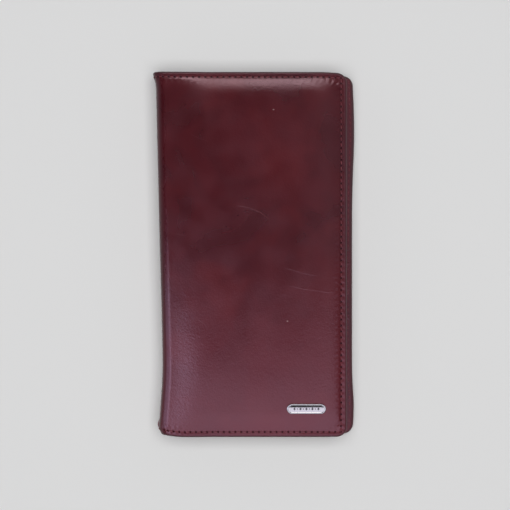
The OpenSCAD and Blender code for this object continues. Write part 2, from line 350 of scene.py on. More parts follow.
def softness(x, y):
    """Slow unevenness of padded leather, between about -1 and 1."""
    wave = np.sin(x * 61 + y * 23 + 0.6) + np.sin(x * 34 - y * 57 + 2.1)
    wave += 0.7 * np.sin(x * 97 + y * 71 + 4.0) + 0.5 * np.sin(x * 150 - y * 121 + 1.3)
    return wave / 3.2


def seam_distance(half, x, y):
    """Distance from the nearest seam line, and the place along it."""
    side = EDGE_X[half] - SIDE_SEAM[half] - x
    end = HALF_H - END_SEAM - np.abs(y)
    far_off, past_corner = 1.0, -0.5 * MM
    to_side = np.where(end > past_corner, np.abs(side), far_off)
    to_end = np.where(side > past_corner, np.abs(end), far_off)
    return np.minimum(to_side, to_end), np.where(to_side < to_end, y, x)


def seam_corners(half):
    """The outer seam's corners: along the top, down the opening side and back along the bottom."""
    side_x = EDGE_X[half] - SIDE_SEAM[half]
    end_y = HALF_H - END_SEAM
    return [(X_MID_SPINE, end_y), (side_x, end_y), (side_x, -end_y), (X_MID_SPINE, -end_y)]


def stitch_count(length, pitch=STITCH_PITCH):
    return max(1, round(length / pitch))


def seam_run(half, x, y):
    """Distance off the outer seam, and how many stitches along it a point is."""
    distance, _ = seam_distance(half, x, y)
    (x0, y0), (x1, _), (_, y1), _ = seam_corners(half)
    along_x = (x - x0) / (x1 - x0) * stitch_count(x1 - x0)
    along_y = (y - y0) / (y1 - y0) * stitch_count(y0 - y1)
    nearer_side = np.abs(x - x1) < np.abs(np.abs(y) - y0)
    return distance, np.where(nearer_side, along_y, along_x)


def seam_sink(half, x, y):
    """How far the thread pulls the leather down, with small puckers between the stitches."""
    distance, along = seam_distance(half, x, y)
    beat = np.cos(2 * np.pi * along / STITCH_PITCH)
    groove = SEAM_SINK * bell(distance, 0, 0.75 * MM) * (0.7 + 0.3 * beat)
    lean = np.cos(2 * np.pi * (along + 0.4 * distance) / STITCH_PITCH + 1.5 * np.sin(along * 130))
    return groove + PUCKER * bell(distance, 1.6 * MM, 1.3 * MM) * lean


def cover_depth(half, x, y, flat_x=None, flat_y=None):
    """Depth of the outer leather's face. flat_x and flat_y are the points before corner rounding."""
    flat_x = x if flat_x is None else flat_x
    flat_y = y if flat_y is None else flat_y
    to_side = EDGE_X[half] - flat_x
    to_end = HALF_H - np.abs(flat_y)
    padded = 0.12 + 0.88 * ease((flat_x - X_FOLD - 1 * MM) / (24 * MM))
    inward = np.maximum(from_rim(to_side, to_end, STEEP_W), FLAT_BORDER)
    steep = np.clip(1 - inward / STEEP_W, 0, 1) ** 2.2
    broad = np.clip(1 - from_rim(to_side, to_end, BROAD_W) / BROAD_W, 0, 1) ** 2
    slack = 0.3 * MM + 1.0 * MM * ease((10 * MM - y) / (75 * MM))
    slack = slack * bell(flat_x, X_FOLD - 2 * MM, 13 * MM) * ease((flat_x - X_MID_SPINE) / (10 * MM))
    unevenness = 0.12 * MM * (softness(x, y) + 1) * (1 - broad) * padded
    drop = (STEEP_DROP * steep + BROAD_DROP * broad) * padded
    return drop + slack + unevenness + seam_sink(half, x, y)


def make_cover(name, half):
    """Outer leather of a half and its side of the spine, with its rim rolled in on three sides."""
    x_edge = EDGE_X[half]
    box = (X_MID_SPINE, x_edge - ROLL_R, -HALF_H + ROLL_R, HALF_H - ROLL_R)
    corner = CORNER_R - ROLL_R
    border, fine = 6 * MM, 0.45 * MM
    x_lines = lines(box[0], box[1], 0.95 * MM, [(box[1], border, fine), (X_FOLD, ARC, 0.6 * MM)])
    y_lines = lines(box[2], box[3], 0.85 * MM, [(box[2], border, fine), (box[3], border, fine)])
    flat_x, flat_y = np.meshgrid(x_lines, y_lines, indexing="ij")
    x, y = round_corners(flat_x, flat_y, box, 0.0, corner)
    depth = cover_depth(half, x, y, flat_x, flat_y)
    n_x, n_y = x.shape
    layer = n_x * n_y
    points = [place(half, x, y, d, True).reshape(-1, 3) for d in (depth, depth + LEATHER_T)]
    faces = grid_faces(n_x, n_y) + grid_faces(n_x, n_y, layer)

    ci, cj = edge_chain(n_x, n_y, False)
    rim_x, rim_y, rim_depth = x[ci, cj], y[ci, cj], depth[ci, cj]
    no_spine_side = (box[0] - 1, *box[1:])
    nx, ny = rim_normals(rim_x, rim_y, no_spine_side, 0.0, corner)
    squeeze = 1 - 0.2 * ease((X_FOLD + 4 * MM - rim_x) / (8 * MM))
    roll_steps, hem_steps = 9, 3
    turns = [math.pi * k / roll_steps for k in range(1, roll_steps + 1)]
    profile = [(math.sin(a), 1 - math.cos(a), 0.0) for a in turns]
    profile += [(0.0, 2.0, HEM_SHOWN * k / hem_steps) for k in range(1, hem_steps + 1)]
    total = 2 * layer
    outer_rows = [(ci * n_y + cj).tolist()]
    inner_rows = [(layer + ci * n_y + cj).tolist()]
    for out, down, back in profile:
        for radius, shift, rows in ((ROLL_R, 0.0, outer_rows), (ROLL_R - LEATHER_T, LEATHER_T, inner_rows)):
            push = radius * out - back
            sink = squeeze * (shift + radius * down)
            points.append(place(half, rim_x + nx * push, rim_y + ny * push, rim_depth + sink, True))
            rows.append(list(range(total, total + len(ci))))
            total += len(ci)
    for rows in (outer_rows, inner_rows):
        for one, other in zip(rows, rows[1:]):
            faces += strip_faces(one, other, False)
    faces += strip_faces(outer_rows[-1], inner_rows[-1], False)
    column = list(range(n_y))
    faces += strip_faces(column, [layer + j for j in column], False)
    for end in (0, -1):
        faces += strip_faces([row[end] for row in outer_rows], [row[end] for row in inner_rows], False)

    points = np.concatenate(points)
    distance_in = np.minimum(x_edge - flat_x, HALF_H - np.abs(flat_y)).ravel()
    fold = np.clip((X_FOLD - x.ravel()) / ARC, 0, 1)
    wear = np.zeros(len(points))
    # wear near the roll and on the roll and hem darkens the leather there: partly edge dye, partly painted
    # shade.
    wear[:layer] = np.clip(1 - (distance_in - ROLL_R) / (0.8 * MM), 0, 1) * 0.5
    wear[:layer] += 0.35 * np.sin(np.pi * fold)
    wear[2 * layer:] = 1.0
    seam_off, seam_place = np.ones(len(points)), np.zeros(len(points))
    seam_off[:layer], seam_place[:layer] = (v.ravel() for v in seam_run(half, x, y))
    marks = {"wear": wear, "seam_off": seam_off, "seam_place": seam_place}
    return make_object(name, points, faces, attributes=marks)


def border_dip(half, x, y):
    """How much the sewn border squeezes the inner layers."""
    distance = np.minimum(EDGE_X[half] - x, HALF_H - np.abs(y))
    return BORDER_DIP * (1 - ease((distance - 2.5 * MM) / (5 * MM)))


def inner_face(half, level):
    """A depth function for an inner layer whose face is at a level away from the border."""
    return lambda x, y: level - border_dip(half, x, y)


# ---- Stitches ----


def along_path(corners, pitch):
    """Points and directions at even steps along straight runs between corners."""
    spots = []
    for (x0, y0), (x1, y1) in zip(corners, corners[1:]):
        length = math.hypot(x1 - x0, y1 - y0)
        count = stitch_count(length, pitch)
        for k in range(count):
            t = (k + 0.5) / count
            spots.append((x0 + (x1 - x0) * t, y0 + (y1 - y0) * t, (x1 - x0) / length, (y1 - y0) / length))
    return np.array(spots)


def make_stitches(name, half, corners, surface, facing, bent=False, pitch=STITCH_PITCH,
                  length=1.95 * MM, radius=0.25 * MM):
    """A seam's thread: an arched, slightly slanted stitch for each step. facing is -1 on an outer face."""
    rings, sides, slant = 6, 6, math.radians(7)
    spots = along_path(corners, pitch)
    number = np.arange(len(spots))[:, None, None]
    cx, cy, dx, dy = spots.T[:, :, None, None]
    turn = slant * (1 + 0.25 * np.sin(number * 2.4))
    tx = dx * np.cos(turn) - dy * np.sin(turn)
    ty = dx * np.sin(turn) + dy * np.cos(turn)
    t = np.linspace(-1, 1, rings)[:, None]
    around = np.arange(sides) * 2 * math.pi / sides
    thin = radius * (1 + 0.06 * np.sin(number * 1.7)) * np.sqrt(np.maximum(0.08, 1 - 0.86 * t * t))
    arch = 0.20 * MM * (1 - t * t) - 0.12 * MM
    aside = np.cos(around) * thin
    up = np.sin(around) * thin + arch
    x = (cx + tx * t * length / 2 - ty * aside).ravel()
    y = (cy + ty * t * length / 2 + tx * aside).ravel()
    depth = surface(x, y) + facing * up.ravel()
    one_stitch = tube_faces(rings, sides)
    faces = [[k + first for k in face] for first in range(0, len(x), rings * sides) for face in one_stitch]
    return make_object(name, place(half, x, y, depth, bent), faces, sharp_deg=60)


# ---- Node materials ----


class Nodes:
    """A new material's node tree, with short calls that add and link nodes."""

    def __init__(self, name):
        self.material = bpy.data.materials.new(name)
        self.material.use_nodes = True
        self.tree = self.material.node_tree
        self.shader = self.tree.nodes["Principled BSDF"]
        self.object_point = self.add("ShaderNodeTexCoord").outputs["Object"]
        self.xyz = self.add("ShaderNodeSeparateXYZ", {"Vector": self.object_point}).outputs

    def add(self, kind, inputs=None, **settings):
        node = self.tree.nodes.new(kind)
        for key, value in settings.items():
            setattr(node, key, value)
        for key, value in (inputs or {}).items():
            self.put(node.inputs[key], value)
        return node

    def put(self, socket, value):
        if isinstance(value, bpy.types.NodeSocket):
            self.tree.links.new(value, socket)
        else:
            socket.default_value = value

    def noise(self, scale, detail=3.0, rough=0.55, vector=None, distortion=0.0):
        inputs = {"Vector": vector or self.object_point, "Scale": scale, "Detail": detail}
        inputs.update({"Roughness": rough, "Distortion": distortion})
        return self.add("ShaderNodeTexNoise", inputs).outputs["Fac"]

    def cells(self, scale):
        inputs = {"Vector": self.object_point, "Scale": scale}
        return self.add("ShaderNodeTexVoronoi", inputs).outputs["Distance"]

    def math(self, operation, *values):
        return self.add("ShaderNodeMath", dict(enumerate(values)), operation=operation).outputs[0]

    def plus(self, a, b):
        return self.math("ADD", a, b)

    def minus(self, a, b):
        return self.math("SUBTRACT", a, b)

    def times(self, a, b):
        return self.math("MULTIPLY", a, b)

    def length(self, a, b):
        """Length of the flat vector (a, b)."""
        return self.math("SQRT", self.plus(self.times(a, a), self.times(b, b)))

    def spread(self, value, low, high, out_low=0.0, out_high=1.0):
        inputs = {"Value": value, "From Min": low, "From Max": high, "To Min": out_low, "To Max": out_high}
        return self.add("ShaderNodeMapRange", inputs, interpolation_type="SMOOTHSTEP").outputs[0]

    def mix(self, factor, a, b):
        return self.add("ShaderNodeMix", {0: factor, 6: a, 7: b}, data_type="RGBA").outputs[2]

    def attribute(self, name):
        return self.add("ShaderNodeAttribute", attribute_name=name).outputs["Fac"]

    def bump(self, height, distance, strength):
        inputs = {"Height": height, "Distance": distance, "Strength": strength}
        return self.add("ShaderNodeBump", inputs).outputs[0]

    def finish(self, **values):
        for key, value in values.items():
            self.put(self.shader.inputs[key.replace("_", " ")], value)
        return self.material


def rgb(r, g, b):
    """A linear colour from 0 to 255 screen values."""
    shares = (c / 255 for c in (r, g, b))
    return tuple(((c + 0.055) / 1.055) ** 2.4 if c > 0.04 else c / 12.92 for c in shares) + (1.0,)


def dimmed(colour, share):
    return tuple(c * share for c in colour[:3]) + (1.0,)


# Fine scratches in the front face, as arcs in millimetres: centre, radius, the stretch of x that
# shows, whether they lie above (1) or below (-1) their centre, and strength
SCRATCHES = [
    ((-9, 1.4), 23, (-10, 8), 1, 1.0),
    ((40, 60), 71, (13, 34), -1, 0.7),
    ((58, 180), 200, (16, 42), -1, 0.8),
    ((-42, -20), 30.3, (-42, -33), 1, 0.6),
    ((12, 12), 60, (-30, -23), -1, 0.7),
    ((-15, 90), 34, (-34, -22), -1, 0.4),
]
# Small pale scuffs, as points in millimetres
SCUFFS = [(9.6, 72.8), (16.6, -33.5)]


def on_front(n, masks):
    """The strongest of some masks, on the front face only."""
    total = masks[0]
    for mask in masks[1:]:
        total = n.math("MAXIMUM", total, mask)
    return n.times(total, n.math("GREATER_THAN", n.xyz[2], THICK - 2 * MM))


def scratch_lines(n):
    """A mask of the fine scratches on the front face."""
    x, y, _ = n.xyz
    drift = n.times(n.minus(n.noise(90, 2), 0.5), 1.2 * MM)
    masks = []
    for (cx, cy), radius, (x0, x1), side, strength in SCRATCHES:
        up = n.minus(y, cy * MM)
        reach = n.length(n.minus(x, cx * MM), up)
        off = n.math("ABSOLUTE", n.plus(n.minus(reach, radius * MM), drift))
        line = n.spread(off, 0.0, 0.4 * MM, strength, 0.0)
        start = n.spread(x, x0 * MM, (x0 + 4) * MM)
        stop = n.spread(x, (x1 - 5) * MM, x1 * MM, 1.0, 0.0)
        same_side = n.math("GREATER_THAN", n.times(up, side), 0.0)
        masks.append(n.times(n.times(line, same_side), n.times(start, stop)))
    return on_front(n, masks)


def scuff_dots(n):
    """A mask of the small pale scuffs on the front face."""
    masks = []
    for cx, cy in SCUFFS:
        reach = n.length(n.minus(n.xyz[0], cx * MM), n.times(n.minus(n.xyz[1], cy * MM), 1.5))
        masks.append(n.spread(reach, 0.2 * MM, 0.6 * MM, 1.0, 0.0))
    return on_front(n, masks)


def needle_hole_shade(n):
    """A mask of the holes between the stitches of the outer seam, where their shade is painted dark."""
    step = n.math("FRACT", n.plus(n.attribute("seam_place"), 0.5))
    along = n.times(n.minus(step, 0.5), STITCH_PITCH)
    return n.spread(n.length(along, n.attribute("seam_off")), 0.3 * MM, 0.72 * MM, 1.0, 0.0)


def leather(name, dark, mid, red, rough, grain=1.0, coat=0.15, marks=False):
    """Smooth dyed leather: mottled colour, fine grain and pores, and darker, matter edges, which are partly
    edge dye and partly painted shade on the rolled rims.

    marks adds what the outer leather has: a lighter, redder lower end that is painted light, scratches,
    scuffs and needle holes with painted shade in them.
    """
    n = Nodes(name)
    wide = n.noise(26, 4, 0.55, distortion=0.8)
    elsewhere = n.add("ShaderNodeMapping", {"Vector": n.object_point, "Location": (0.37, 0.11, 0.2)})
    reddish = n.noise(34, 3, 0.5, vector=elsewhere.outputs[0])
    colour = n.mix(n.spread(wide, 0.38, 0.62), dark, mid)
    colour = n.mix(n.spread(reddish, 0.5, 0.72, 0.0, 0.75), colour, red)
    colour = n.mix(n.spread(n.noise(120, 4, 0.6), 0.35, 0.7, 0.0, 0.22), colour, dark)
    wrinkle, pores, fibre = n.noise(420, 5, 0.62), n.cells(1100), n.noise(2600, 2, 0.5)
    height = n.plus(n.plus(n.times(wrinkle, 0.55), n.times(pores, 0.3)), n.times(fibre, 0.12))
    # The wear attribute marks rims, rolled edges and the fold; darkening them is edge dye on cut edges and
    # painted shade on the cover's rolled rims.
    edge = n.times(n.attribute("wear"), n.spread(n.noise(260, 3), 0.3, 0.7, 0.8, 1.0))
    surface_rough = n.spread(n.noise(70, 4), 0.3, 0.7, rough - 0.03, rough + 0.05)
    surface_rough = n.plus(surface_rough, n.times(edge, 0.22))
    specular = 0.75
    if marks:
        # Painted light: the lower end is coloured lighter and redder.
        painted_light_lower_end = n.spread(n.xyz[1], -75 * MM, 25 * MM, 0.45, 0.0)
        scratch, scuff, hole = scratch_lines(n), scuff_dots(n), needle_hole_shade(n)
        colour = n.mix(painted_light_lower_end, colour, rgb(92, 18, 27))
        colour = n.mix(n.times(scratch, 0.12), colour, rgb(136, 92, 98))
        colour = n.mix(n.times(scuff, 0.45), colour, rgb(190, 160, 158))
        # Painted shade: the needle holes are coloured near black.
        colour = n.mix(n.times(hole, 0.9), colour, rgb(32, 8, 13))
        height = n.minus(n.plus(height, n.times(scratch, 0.3)), n.times(hole, 1.5))
        surface_rough = n.plus(surface_rough, n.times(hole, 0.4))
        shine = n.minus(1.0, n.times(hole, 0.9))
        coat, specular = n.times(shine, coat), n.times(shine, specular)
    # Painted shade, partly edge dye: worn rims and rolled edges are darkened.
    colour = n.mix(n.times(edge, 0.65), colour, dimmed(dark, 0.4))
    normal = n.bump(height, 0.16 * MM * grain, 0.55)
    return n.finish(Base_Color=colour, Roughness=surface_rough, Normal=normal,
                    Coat_Weight=coat, Coat_Roughness=0.24,
                    Specular_Tint=(1.0, 0.68, 0.8, 1.0), Specular_IOR_Level=specular)


def weave(name, dark, light, pitch):
    """Plain woven cloth: threads over and under, with uneven colour."""
    n = Nodes(name)
    turn = 2 * math.pi / pitch
    warp = n.math("SINE", n.times(n.xyz[0], turn))
    weft = n.math("SINE", n.times(n.plus(n.xyz[1], n.xyz[2]), turn))
    over = n.plus(n.times(n.times(warp, weft), 0.5), 0.5)
    colour = n.mix(n.spread(over, 0.1, 0.9, 0.15, 0.85), dark, light)
    colour = n.mix(n.spread(n.noise(300, 3), 0.35, 0.7, 0.0, 0.4), colour, dark)
    height = n.plus(over, n.times(n.noise(4000, 2), 0.3))
    return n.finish(Base_Color=colour, Roughness=0.85, Normal=n.bump(height, 0.12 * MM, 0.8),
                    Sheen_Weight=0.3, Sheen_Roughness=0.5)


def metal(name, base, rough):
    """Bright metal with faint wear and haze."""
    n = Nodes(name)
    haze, fine = n.noise(420, 4, 0.6), n.noise(2200, 3, 0.6)
    colour = n.mix(n.spread(haze, 0.5, 0.8, 0.0, 0.3), base, dimmed(base, 0.72))
    surface_rough = n.spread(haze, 0.3, 0.75, rough, rough + 0.08)
    normal = n.bump(n.plus(fine, n.times(haze, 0.5)), 0.02 * MM, 0.35)
    return n.finish(Base_Color=colour, Metallic=1.0, Roughness=surface_rough, Normal=normal)


def thread(name, base, light):
    """Waxed sewing thread, twisted."""
    n = Nodes(name)
    lean = n.plus(n.plus(n.xyz[0], n.xyz[1]), n.times(n.xyz[2], 1.5))
    twist = n.plus(n.times(n.math("SINE", n.times(lean, 9000)), 0.5), 0.5)
    colour = n.mix(n.spread(twist, 0.2, 0.8, 0.0, 0.7), light, base)
    colour = n.mix(n.spread(n.noise(180, 2), 0.4, 0.7, 0.0, 0.35), colour, base)
    return n.finish(Base_Color=colour, Roughness=0.7, Normal=n.bump(twist, 0.06 * MM, 0.8),
                    Sheen_Weight=0.1, Specular_IOR_Level=0.2)


def foam(name):
    n = Nodes(name)
    colour = n.mix(n.spread(n.noise(200, 3), 0.3, 0.7), rgb(206, 202, 190), rgb(226, 222, 212))
    return n.finish(Base_Color=colour, Roughness=0.95, Normal=n.bump(n.cells(1500), 0.2 * MM, 0.7))


def board(name):
    n = Nodes(name)
    fibre = n.noise(600, 5, 0.7, distortion=1.0)
    colour = n.mix(n.spread(fibre, 0.3, 0.7), rgb(150, 132, 104), rgb(178, 160, 130))
    return n.finish(Base_Color=colour, Roughness=0.9, Normal=n.bump(fibre, 0.1 * MM, 0.6))


# The material of each record slot
MATERIALS = {
    "cover_leather": leather("cover_leather", rgb(60, 11, 18), rgb(70, 12, 19), rgb(79, 15, 20), 0.22,
                             marks=True),
    "hem_leather": leather("hem_leather", rgb(54, 12, 19), rgb(64, 15, 22), rgb(72, 18, 23), 0.45),
    "inner_leather": leather("inner_leather", rgb(66, 15, 23), rgb(78, 18, 26), rgb(88, 22, 27), 0.42,
                             grain=1.1, coat=0.2),
    "lining_cloth": weave("lining_cloth", rgb(24, 14, 18), rgb(58, 36, 42), 0.55 * MM),
    "zip_cloth": weave("zip_tape_cloth", rgb(40, 10, 16), rgb(82, 26, 34), 0.45 * MM),
    "zip_metal": metal("zip_metal", rgb(214, 210, 202), 0.2),
    "plate_metal": metal("plate_chrome", (0.50, 0.50, 0.50, 1.0), 0.08),
    "thread": thread("seam_thread", rgb(84, 26, 34), rgb(128, 66, 74)),
    "padding": foam("padding_foam"),
    "board": board("stiffening_board"),
}
INLAY = metal("plate_inlay", (0.13, 0.13, 0.14, 1.0), 0.4)


def dress(obj, slot, *nodes, body=None, material=None):
    """Gives a piece its record slot and material, the CAD nodes it stands for and its body."""
    obj.data.materials.append(material or MATERIALS[slot])
    if nodes:
        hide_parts(*nodes)
    if body:
        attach(obj, body)
    return obj


# ---- Pieces of the two halves ----

PREFIX = {BACK: "back", FRONT: "front"}
CARD_SLOTS = {BACK: range(9, 12), FRONT: range(1, 9)}


def bend_over_fold(obj, half):
    """Bakes the transform into a piece that crosses its half's corner of the spine, whose points already
    follow the fold.
    """
    if half == BACK:
        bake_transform(obj)
    else:
        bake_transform(obj)


def node_depths(half, node):
    """A CAD node's outer and inner depth in its half."""
    low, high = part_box(node)
    return (low.z, high.z) if half == BACK else (THICK - high.z, THICK - low.z)


def node_plan(node, right_inset=0.0):
    """A CAD node's extent as (x0, x1, y0, y1)."""
    low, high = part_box(node)
    return (low.x, high.x - right_inset, low.y, high.y)


def build_cover(half):
    """The outer leather of a half, and the seam round its rim."""
    name = PREFIX[half]
    stood = [f"{name}_cover"] + [f"{name}_hem_{part}" for part in ("top", "side", "bottom")]
    if half == BACK:
        stood.append("spine_cover")
    cover = dress(make_cover(f"{name}_cover_leather", half), "cover_leather", *stood)
    bend_over_fold(cover, half)
    rows = make_stitches(f"{name}_seam_outside", half, seam_corners(half), partial(cover_depth, half),
                         -1, True)
    bend_over_fold(dress(rows, "thread", f"{name}_stitching"), half)


def build_filling(half):
    """Foam and board inside a half."""
    name = PREFIX[half]
    low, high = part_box(f"{name}_padding")
    box = (X_FOLD + 1.5 * MM, high.x, low.y, high.y)
    near, far = node_depths(half, f"{name}_board")
    round_r = (2 * MM, 3 * MM)

    def foam_near(x, y):
        return cover_depth(half, x, y) + LEATHER_T + 2 * PLAY

    pad = plate(f"{name}_foam", half, box, foam_near, near, *round_r, step=3 * MM)
    dress(pad, "padding", f"{name}_padding", body=half)
    stiff = plate(f"{name}_stiffener", half, box, near + PLAY, far, *round_r, step=4 * MM)
    dress(stiff, "board", f"{name}_board", body=half)


def build_lining(half):
    """A half's cloth lining, which runs on over half of the spine."""
    name = PREFIX[half]
    on_board = node_depths(half, f"{name}_lining")[0] + 2 * PLAY
    end_inset, fine = 1.6 * MM, 0.8 * MM

    def near(x, y):
        over_board = ease((x - X_FOLD - 0.5 * MM) / (4 * MM))
        over_hem = ease((np.abs(y) - (HALF_H - 5.5 * MM)) / (2 * MM))
        at_spine = cover_depth(half, x, y) + LEATHER_T + 0.15 * MM + over_hem * 1.35 * MM
        return at_spine * (1 - over_board) + on_board * over_board

    box = (X_MID_SPINE, EDGE_X[half] - 5 * MM, -HALF_H + end_inset, HALF_H - end_inset)
    cloth = plate(f"{name}_lining_cloth", half, box, near, lambda x, y: near(x, y) + LINING_T,
                  0.2 * MM, 2 * MM, [(X_FOLD, ARC, fine)], [(end, 6 * MM, fine) for end in box[2:]],
                  step=2.8 * MM, bent=True, edge_steps=2)
    stood = [f"{name}_lining"] + (["spine_lining"] if half == BACK else [])
    bend_over_fold(dress(cloth, "lining_cloth", *stood), half)


def build_panel(half):
    """The leather panel that closes the note compartment, folded at its edges."""
    name = PREFIX[half]
    surface = inner_face(half, node_depths(half, f"{name}_panel")[1])
    box = (X_STACK, EDGE_X[half] - PANEL_INSET, -HALF_H + PANEL_INSET, HALF_H - PANEL_INSET)
    crease_x = X_STACK + 2.4 * MM

    def face(x, y):
        return surface(x, y) - 0.12 * MM * bell(x, crease_x, 0.35 * MM)

    panel = plate(f"{name}_panel_leather", half, box, lambda x, y: face(x, y) - PANEL_T, face,
                  1.2 * MM, CORNER_R - PANEL_INSET, [(crease_x, 2.4 * MM, 0.3 * MM)], step=2 * MM)
    dress(panel, "inner_leather", f"{name}_panel", body=half)


def build_slot(half, node):
    """A card slot, with a folded lip at its mouth and a creased line under it. Returns its face."""
    box = node_plan(node, 0.4 * MM)
    near, far = node_depths(half, node)
    mouth_y = box[3]

    def face(x, y):
        below = mouth_y - y
        lip = 0.26 * MM * (1 - ease((below - 2.6 * MM) / (0.9 * MM)))
        crease = 0.16 * MM * bell(below, 1.7 * MM, 0.28 * MM)
        across = (x - X_STACK) / (EDGE_X[half] - X_STACK)
        sag = 0.08 * MM * np.sin(np.pi * across) * (1 - ease(below / (10 * MM)))
        return far + lip - crease + sag - border_dip(half, x, y)

    piece = plate(f"{node}_leather", half, box, inner_face(half, near + PLAY), face, 0.8 * MM, 0.8 * MM,
                  [(box[1], 7 * MM, 1 * MM)], [(mouth_y, 4.2 * MM, 0.24 * MM)], step=2.8 * MM)
    dress(piece, "inner_leather", node, body=half)
    return face


def build_card_slots(half):
    """The card slots of a half. Returns the layers that its inner seams lie on."""
    panel = f"{PREFIX[half]}_panel"
    layers = [(node_plan(panel), inner_face(half, node_depths(half, panel)[1]))]
    for k in CARD_SLOTS[half]:
        node = f"card_slot_{k}"
        layers.append((node_plan(node), build_slot(half, node)))
    return layers


def top_surface(layers):
    """Depth of whichever layer lies on top at a place. layers holds (box, depth function)."""
    def depth(x, y):
        best = np.zeros_like(x)
        for (x0, x1, y0, y1), face in layers:
            inside = (x > x0) & (x < x1) & (y > y0) & (y < y1)
            best = np.where(inside, np.maximum(best, face(x, y)), best)
        return best
    return depth


def build_inner_seams(half, layers):
    """Seams on a half's inner face: the border seam, and the row that holds the pockets by the fold."""
    side_x = EDGE_X[half] - SIDE_SEAM[half]
    end_y = HALF_H - END_SEAM
    fold_x = X_STACK + 1.5 * MM
    pocket_top = max(box[3] for box, _ in layers[1:])
    seams = {
        "seam_inside": [(fold_x, end_y), (side_x, end_y), (side_x, -end_y), (fold_x, -end_y)],
        "pocket_seam": [(fold_x, pocket_top - 2 * MM), (fold_x, -end_y + 2 * MM)],
    }
    for part, corners in seams.items():
        rows = make_stitches(f"{PREFIX[half]}_{part}", half, corners, top_surface(layers), 1)
        dress(rows, "thread", body=half)


# ---- Coin pocket ----


def build_coin_pocket():
    """The cloth bag, gussets and face of the coin pocket in the back half. Returns its layer."""
    near, far = node_depths(BACK, "coin_bag")
    plan = node_plan("coin_bag")
    box = (plan[0] + 0.5 * MM, plan[1] - 1 * MM, plan[2] + 1 * MM, plan[3] - 1 * MM)
    bag = plate("coin_bag_cloth", BACK, box, inner_face(BACK, near + 2 * PLAY), inner_face(BACK, far),
                1 * MM, 1 * MM, step=3 * MM, edge_steps=2)
    dress(bag, "lining_cloth", "coin_bag", body=BACK)
    for part in ("top", "bottom", "left", "right"):
        node = f"coin_gusset_{part}"
        near, far = node_depths(BACK, node)
        strip = plate(f"{node}_leather", BACK, node_plan(node, 0.6 * MM), inner_face(BACK, near + PLAY),
                      inner_face(BACK, far - PLAY), step=2 * MM)
        dress(strip, "hem_leather", node, body=BACK)
    return build_coin_face()


def build_coin_face():
    """The pocket's face: one piece of leather with a window for the zip. Returns its layer."""
    lower, upper = node_plan("coin_face_lower", 0.4 * MM), node_plan("coin_face_upper", 0.4 * MM)
    near, far = node_depths(BACK, "coin_face_lower")
    box = (lower[0], upper[1], lower[2], upper[3])
    window = (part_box("zip_stop_open")[0].x - 0.6 * MM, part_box("zip_stop_closed")[1].x + 0.6 * MM,
              lower[3], upper[2])

    def face(x, y):
        dx = np.maximum(np.maximum(window[0] - x, x - window[1]), 0)
        dy = np.maximum(np.maximum(window[2] - y, y - window[3]), 0)
        away = np.hypot(dx, dy)
        turned = 0.10 * MM * (1 - ease((away - 2.5 * MM) / (0.8 * MM)))
        groove = 0.14 * MM * bell(away, ZIP_SEAM, 0.45 * MM)
        lip = 0.1 * MM * (1 - ease((y - box[2] - 2 * MM) / (0.8 * MM)))
        return far - border_dip(BACK, x, y) + turned + lip - groove

    fine_x = [(edge, 3 * MM, 0.5 * MM) for edge in window[:2]]
    fine_y = [(edge, 3 * MM, 0.35 * MM) for edge in window[2:]] + [(box[2], 3 * MM, 0.4 * MM)]
    piece = plate("coin_face_leather", BACK, box, inner_face(BACK, near + PLAY), face, 1 * MM, 1 * MM,
                  fine_x, fine_y, step=2.4 * MM, window=window, window_r=2.5 * MM)
    dress(piece, "inner_leather", "coin_face_upper", "coin_face_lower", body=BACK)
    for part, seam_y in (("upper", window[3] + ZIP_SEAM), ("lower", window[2] - ZIP_SEAM)):
        seam = [(window[0] + 1 * MM, seam_y), (window[1] - 0.5 * MM, seam_y)]
        dress(make_stitches(f"zip_seam_{part}", BACK, seam, face, 1), "thread", body=BACK)
    return box, face


# ---- Zip and name plate ----


def shell(outline, low, high, bevel, to_point):
    """A prism with rounded edges: outline in (u, v), from low to high in w, moved by to_point."""
    count = len(outline)
    bm = bmesh.new()
    rings = [[bm.verts.new((u, v, w)) for u, v in outline] for w in (low, high)]
    bm.faces.new(rings[0][::-1])
    bm.faces.new(rings[1])
    for k in range(count):
        after = (k + 1) % count
        bm.faces.new([rings[0][k], rings[0][after], rings[1][after], rings[1][k]])
    bm.normal_update()
    sharp_angle = 0.7
    sharp = [edge for edge in bm.edges if edge.calc_face_angle(0) > sharp_angle]
    bmesh.ops.bevel(bm, geom=sharp, offset=bevel, segments=2, profile=0.6, affect="EDGES")
    bm.verts.index_update()
    points = [to_point(*v.co) for v in bm.verts]
    faces = [[v.index for v in f.verts] for f in bm.faces]
    bm.free()
    return points, faces


def join_shells(name, shells, sharp_deg=35):
    points, faces = [], []
    for more_points, more_faces in shells:
        first = len(points)
        points += more_points
        faces += [[k + first for k in f] for f in more_faces]
    return make_object(name, points, faces, sharp_deg)


def rounded_box(half_u, half_v, r, steps=4):
    """Outline of a rectangle with round corners, about its middle."""
    outline = []
    for su, sv, start in ((1, 1, 0), (-1, 1, 90), (-1, -1, 180), (1, -1, 270)):
        for k in range(steps + 1):
            a = math.radians(start + 90 * k / steps)
            outline.append((su * (half_u - r) + r * math.cos(a), sv * (half_v - r) + r * math.sin(a)))
    return outline


